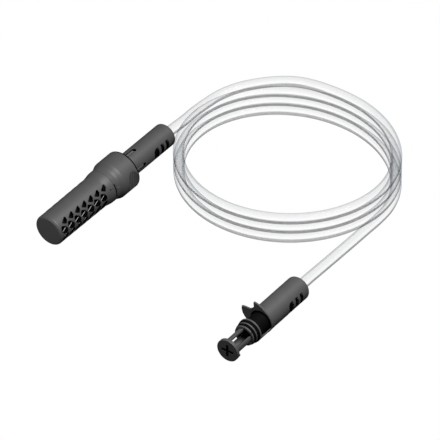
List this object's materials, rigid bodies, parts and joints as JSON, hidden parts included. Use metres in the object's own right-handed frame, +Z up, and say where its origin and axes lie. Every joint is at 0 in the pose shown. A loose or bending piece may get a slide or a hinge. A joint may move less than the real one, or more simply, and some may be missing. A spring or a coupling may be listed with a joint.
{
  "type": "suction hose with intake strainer",
  "caption": "Coiled clear suction hose with a slotted intake strainer on one end and a twist-lock plug coupling with a push-open valve on the other.",
  "frame": {"origin": "on the ground, below the middle of the two fittings' own box, which leaves the free hose out", "axes": "+X along the coupling from its valve button towards the hose, +Z up, +Y from the coupling towards the strainer"},
  "size_m": [0.4135, 0.3056, 0.0486],
  "materials": {
    "charcoal": "fine moulded satin texture",
    "inner_plastic": "moulded, slightly lighter grey",
    "strainer_mesh": "fine woven plastic mesh",
    "seal_rubber": "black O-ring rubber",
    "spring_steel": "drawn wire",
    "clear_hose": "clear flexible PVC"
  },
  "bodies": {
    "root": {"strainer_head": "charcoal", "strainer_basket": "inner_plastic", "strainer_mesh": "strainer_mesh", "cage_seal_ring": "seal_rubber", "foot_valve_seat": "inner_plastic", "foot_valve_spring": "spring_steel", "outlet_spigot": "inner_plastic", "outlet_spigot_seal": "seal_rubber", "outlet_hose_collet": "inner_plastic", "coupling_plug": "charcoal", "plug_seal_front": "seal_rubber", "plug_seal_rear": "seal_rubber", "coupling_retaining_clip": "spring_steel", "valve_spring": "spring_steel", "coupling_hose_barb": "inner_plastic", "coupling_hose_collet": "inner_plastic", "hose_coil": "clear_hose", "hose_lead_outlet": "clear_hose", "hose_lead_coupling": "clear_hose"},
    "cage": {"strainer_cage": "charcoal"},
    "foot_valve": {"foot_valve_poppet": "inner_plastic", "foot_valve_gasket": "seal_rubber"},
    "outlet_grip": {"outlet_sleeve": "charcoal"},
    "coupling_grip": {"coupling_sleeve": "charcoal"},
    "button": {"valve_button": "charcoal", "valve_button_seal": "seal_rubber"}
  },
  "joints": [
    {"name": "cage_twist", "type": "hinge", "parent": "root", "child": "cage", "pos_m": [-0.07669, 0.13315, 0.01794], "axis": [0.9984, -0.0319, 0.0475], "range_deg": [0, 38]},
    {"name": "foot_valve_lift", "type": "slide", "parent": "root", "child": "foot_valve", "axis": [0.9984, -0.0319, 0.0475], "range_m": [0, 0.004], "stiffness_N_per_m": 100, "springref_m": -0.003, "deforming": ["foot_valve_spring"]},
    {"name": "outlet_sleeve_release", "type": "slide", "parent": "root", "child": "outlet_grip", "axis": [0.9984, -0.0319, 0.0475], "range_m": [-0.002, 0], "stiffness_N_per_m": 400, "springref_m": 0.002},
    {"name": "coupling_sleeve_twist", "type": "hinge", "parent": "root", "child": "coupling_grip", "pos_m": [-0.06809, -0.13845, 0.015], "axis": [1, 0, 0], "range_deg": [-45, 45]},
    {"name": "valve_button_push", "type": "slide", "parent": "root", "child": "button", "axis": [1, 0, 0], "range_m": [0, 0.005], "stiffness_N_per_m": 400, "springref_m": -0.004, "deforming": ["valve_spring"]}
  ]
}
